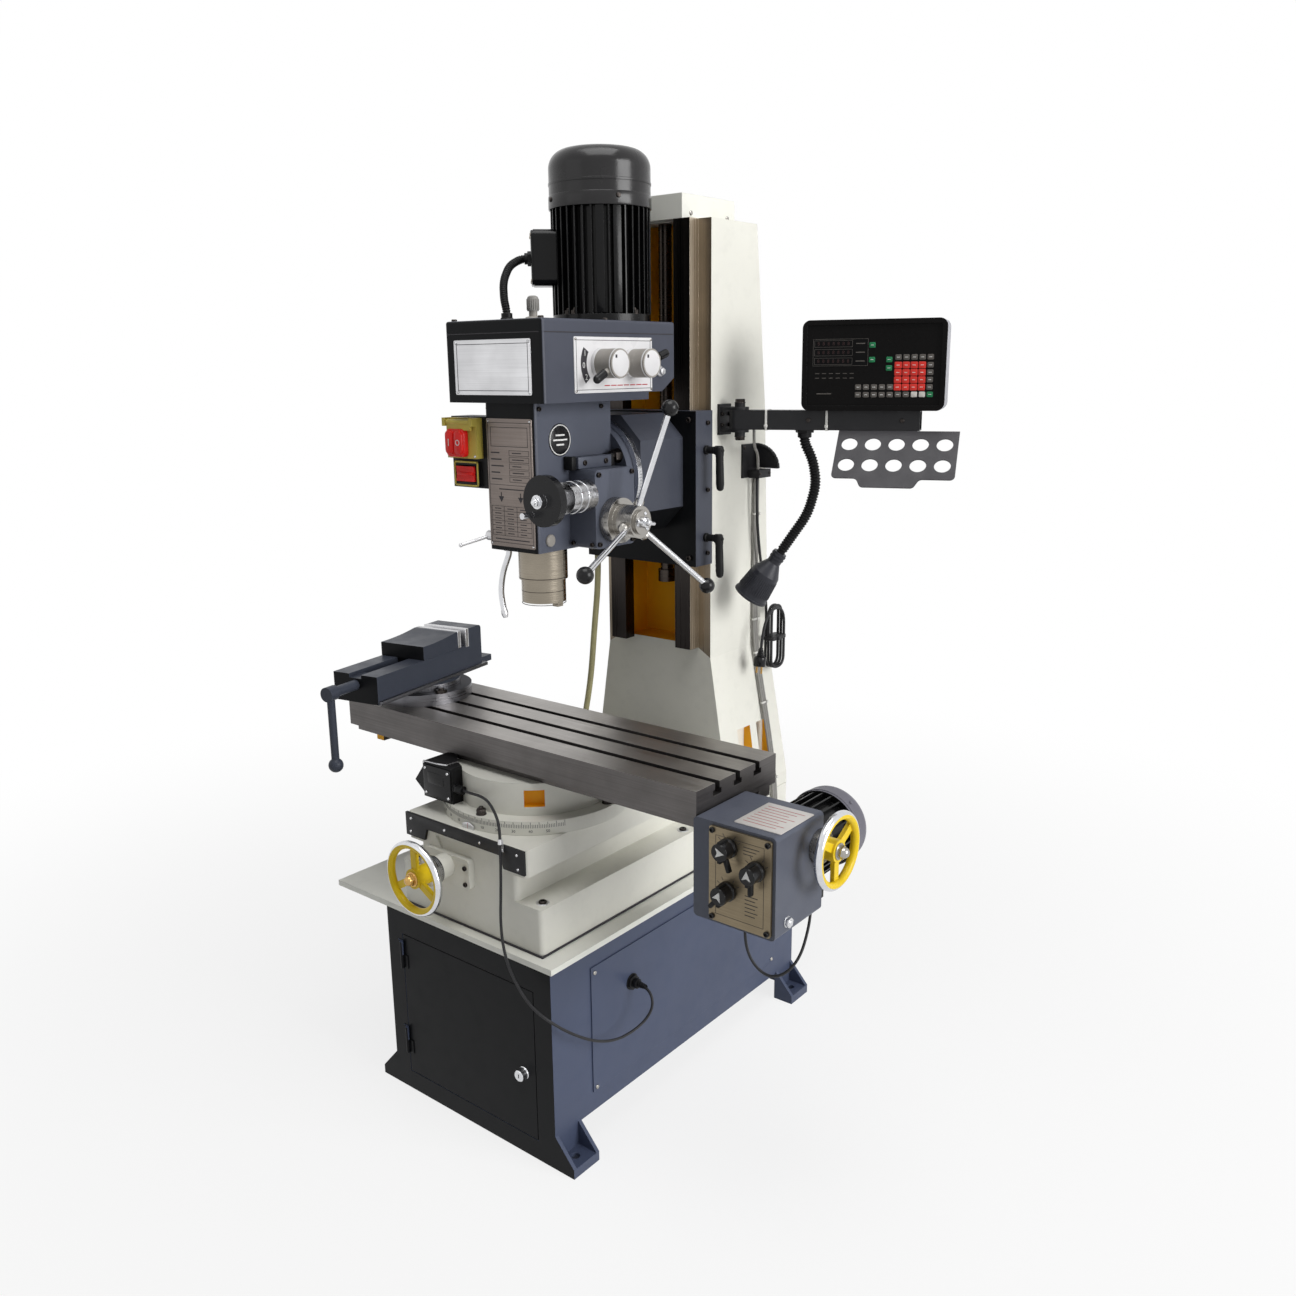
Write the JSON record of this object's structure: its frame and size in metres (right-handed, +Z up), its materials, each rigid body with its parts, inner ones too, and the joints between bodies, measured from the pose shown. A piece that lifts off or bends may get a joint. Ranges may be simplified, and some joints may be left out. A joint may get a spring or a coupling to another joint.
{
  "type": "mill drill",
  "caption": "Column mill drill on a cabinet stand: tilting geared head with quill feed, swivelling cross table with power feed and vise, readout arm and lamp.",
  "frame": {"origin": "on the floor, in the middle of the four foot bolts", "axes": "+X to the operator's right along the table, +Y from the operator to the column, +Z up"},
  "size_m": [1.1803, 0.9743, 1.924],
  "materials": {
    "slate_paint": "painted sheet steel",
    "slate_iron": "painted casting",
    "cream_paint": "painted sheet steel",
    "cream_iron": "painted casting",
    "ground_iron": "ground",
    "black_iron": "painted casting",
    "black_steel": "powder coated",
    "steel": "machined",
    "dark_steel": "oiled",
    "aluminium": "brushed",
    "grey_aluminium": "painted",
    "black_aluminium": "painted",
    "black_plastic": "satin",
    "red_plastic": "satin",
    "cord_rubber": "matte",
    "hose_rubber": "matte"
  },
  "bodies": {
    "stand": {"cabinet": "slate_paint", "side_cover": "slate_paint", "chip_tray": "cream_paint", "base_casting": "cream_iron", "y_bracket": "cream_iron", "column": "cream_iron", "column_cap": "cream_paint", "column_brackets": "black_steel", "hose": "hose_rubber", "scale_leads": "cord_rubber", "readout_lead": "cord_rubber", "power_cord": "cord_rubber", "switch_cable_lower": "cord_rubber"},
    "door": {"door": "slate_paint"},
    "front_wheel": {"front_handwheel": "steel"},
    "saddle": {"saddle": "cream_iron"},
    "turntable": {"turntable": "cream_iron", "limit_switch": "black_plastic", "switch_cable_upper": "cord_rubber"},
    "table": {"table": "ground_iron", "feed_gearbox": "slate_iron", "feed_plate": "aluminium", "feed_motor": "grey_aluminium", "feed_cable": "cord_rubber", "vise_base": "black_iron"},
    "side_wheel": {"side_handwheel": "steel"},
    "feed_knob_1": {"feed_knob_1": "black_plastic"},
    "feed_knob_2": {"feed_knob_2": "black_plastic"},
    "feed_knob_3": {"feed_knob_3": "black_plastic"},
    "vise": {"vise_body": "black_iron"},
    "vise_jaw": {"vise_jaw": "black_iron"},
    "vise_screw": {"vise_screw": "steel"},
    "lift_screw": {"lift_screw": "dark_steel"},
    "carriage": {"carriage": "slate_iron"},
    "clamp_upper": {"clamp_lever_upper": "black_plastic"},
    "clamp_lower": {"clamp_lever_lower": "black_plastic"},
    "head": {"head_body": "slate_iron", "gearbox_housing": "slate_iron", "gearbox_lid": "slate_iron", "motor": "black_aluminium", "feed_housing": "slate_iron", "switch_box": "black_plastic", "nozzle": "steel", "conduit": "black_plastic"},
    "rotor": {"motor_rotor": "steel"},
    "idler": {"idler_gear": "steel"},
    "quill": {"quill": "steel"},
    "spindle": {"spindle": "steel"},
    "capstan": {"capstan": "steel"},
    "fine_wheel": {"fine_wheel": "steel"},
    "speed_knob_1": {"speed_knob_1": "steel"},
    "speed_knob_2": {"speed_knob_2": "steel"},
    "stop_flap": {"stop_flap": "red_plastic"},
    "rocker": {"rocker": "red_plastic"},
    "quill_lock": {"quill_lock": "steel"},
    "readout": {"readout_arm": "black_steel", "readout_box": "grey_aluminium", "tool_tray": "black_steel", "gooseneck": "black_steel", "lamp_shade": "black_aluminium"}
  },
  "joints": [
    {"name": "door_hinge", "type": "hinge", "parent": "stand", "child": "door", "pos_m": [-0.189, -0.4332, 0.205], "axis": [0, 0, -1], "range_deg": [0, 110]},
    {"name": "front_wheel_spin", "type": "hinge", "parent": "stand", "child": "front_wheel", "pos_m": [-0.045, -0.505, 0.56], "axis": [0, -1, 0], "range_deg": [-3614.4, 5054.4]},
    {"name": "saddle_slide", "type": "slide", "parent": "stand", "child": "saddle", "axis": [0, 1, 0], "range_m": [-0.05, 0.07], "deforming": ["switch_cable_lower"]},
    {"name": "turntable_swivel", "type": "hinge", "parent": "saddle", "child": "turntable", "pos_m": [0, -0.207, 0.65], "axis": [0, 0, 1], "range_deg": [-25, 25], "deforming": ["switch_cable_upper"]},
    {"name": "side_wheel_spin", "type": "hinge", "parent": "table", "child": "side_wheel", "pos_m": [0.703, -0.207, 0.7133], "axis": [1, 0, 0], "range_deg": [-12974.4, 12974.4]},
    {"name": "table_slide", "type": "slide", "parent": "turntable", "child": "table", "axis": [1, 0, 0], "range_m": [-0.18, 0.18]},
    {"name": "feed_knob_1_turn", "type": "hinge", "parent": "table", "child": "feed_knob_1", "pos_m": [0.577, -0.345, 0.734], "axis": [0, -1, 0], "range_deg": [-60, 60]},
    {"name": "feed_knob_2_turn", "type": "hinge", "parent": "table", "child": "feed_knob_2", "pos_m": [0.632, -0.345, 0.707], "axis": [0, -1, 0], "range_deg": [-60, 60]},
    {"name": "feed_knob_3_turn", "type": "hinge", "parent": "table", "child": "feed_knob_3", "pos_m": [0.575, -0.345, 0.655], "axis": [0, -1, 0], "range_deg": [-135, 135]},
    {"name": "vise_swivel", "type": "hinge", "parent": "table", "child": "vise", "pos_m": [-0.338, -0.208, 0.835], "axis": [0, 0, 1], "range_deg": [-30, 30]},
    {"name": "vise_jaw_slide", "type": "slide", "parent": "vise", "child": "vise_jaw", "axis": [-0.1857, 0.9826, 0], "range_m": [-0.0852, 0.0167]},
    {"name": "vise_screw_spin", "type": "hinge", "parent": "vise_jaw", "child": "vise_screw", "pos_m": [-0.30087, -0.40452, 0.8853], "axis": [-0.1857, 0.9826, 0], "range_deg": [-6120, 1188]},
    {"name": "lift_screw_spin", "type": "hinge", "parent": "stand", "child": "lift_screw", "pos_m": [0, 0.237, 1.3], "axis": [0, 0, 1], "range_deg": [-1094.4, 23774.4]},
    {"name": "carriage_lift", "type": "slide", "parent": "stand", "child": "carriage", "axis": [0, 0, 1], "range_m": [-0.015, 0.33], "deforming": ["hose"]},
    {"name": "clamp_upper_turn", "type": "hinge", "parent": "carriage", "child": "clamp_upper", "pos_m": [0.17, 0.176, 1.339], "axis": [1, 0, 0], "range_deg": [-75, 15]},
    {"name": "clamp_lower_turn", "type": "hinge", "parent": "carriage", "child": "clamp_lower", "pos_m": [0.17, 0.176, 1.154], "axis": [1, 0, 0], "range_deg": [-75, 15]},
    {"name": "head_tilt", "type": "hinge", "parent": "carriage", "child": "head", "pos_m": [0, 0, 1.294], "axis": [0, 1, 0], "range_deg": [-45, 45]},
    {"name": "rotor_spin", "type": "hinge", "parent": "head", "child": "rotor", "pos_m": [0, 0.027, 1.7], "axis": [0, 0, 1], "continuous": true},
    {"name": "idler_spin", "type": "hinge", "parent": "head", "child": "idler", "pos_m": [0, -0.0555, 1.51], "axis": [0, 0, 1], "continuous": true},
    {"name": "capstan_spin", "type": "hinge", "parent": "head", "child": "capstan", "pos_m": [0.17, -0.104, 1.221], "axis": [1, 0, 0], "range_deg": [0, 243.51]},
    {"name": "quill_feed", "type": "slide", "parent": "head", "child": "quill", "axis": [0, 0, 1], "range_m": [-0.0852, 0.0002]},
    {"name": "spindle_spin", "type": "hinge", "parent": "quill", "child": "spindle", "pos_m": [0, -0.168, 1.08], "axis": [0, 0, 1], "continuous": true},
    {"name": "fine_wheel_spin", "type": "hinge", "parent": "head", "child": "fine_wheel", "pos_m": [0.112, -0.274, 1.272], "axis": [0, -1, 0], "continuous": true},
    {"name": "speed_knob_1_turn", "type": "hinge", "parent": "head", "child": "speed_knob_1", "pos_m": [0.15, -0.128, 1.517], "axis": [1, 0, 0], "range_deg": [-40, 40]},
    {"name": "speed_knob_2_turn", "type": "hinge", "parent": "head", "child": "speed_knob_2", "pos_m": [0.15, -0.034, 1.517], "axis": [1, 0, 0], "range_deg": [-40, 40]},
    {"name": "stop_flap_hinge", "type": "hinge", "parent": "head", "child": "stop_flap", "pos_m": [-0.118, -0.268, 1.41], "axis": [-1, 0, 0], "range_deg": [0, 85]},
    {"name": "rocker_tilt", "type": "hinge", "parent": "head", "child": "rocker", "pos_m": [-0.118, -0.251, 1.3095], "axis": [1, 0, 0], "range_deg": [-8, 8]},
    {"name": "quill_lock_turn", "type": "hinge", "parent": "head", "child": "quill_lock", "pos_m": [-0.075, -0.232, 1.188], "axis": [1, 0, 0], "range_deg": [-30, 30]},
    {"name": "readout_swing", "type": "hinge", "parent": "stand", "child": "readout", "pos_m": [0.19, 0.247, 1.4], "axis": [0, 0, 1], "range_deg": [-15, 40], "deforming": ["readout_lead"]}
  ],
  "couplings": [
    {"joint": "front_wheel_spin", "follows": "saddle_slide", "rad_per_m": 1256.6},
    {"joint": "side_wheel_spin", "follows": "table_slide", "rad_per_m": 1256.6},
    {"joint": "vise_jaw_slide", "follows": "vise_screw_spin", "m_per_rad": 0.00079577},
    {"joint": "lift_screw_spin", "follows": "carriage_lift", "rad_per_m": 1256.6},
    {"joint": "quill_feed", "follows": "capstan_spin", "m_per_rad": -0.02},
    {"joint": "idler_spin", "follows": "rotor_spin", "ratio": -0.57143},
    {"joint": "spindle_spin", "follows": "rotor_spin", "ratio": 0.5}
  ]
}
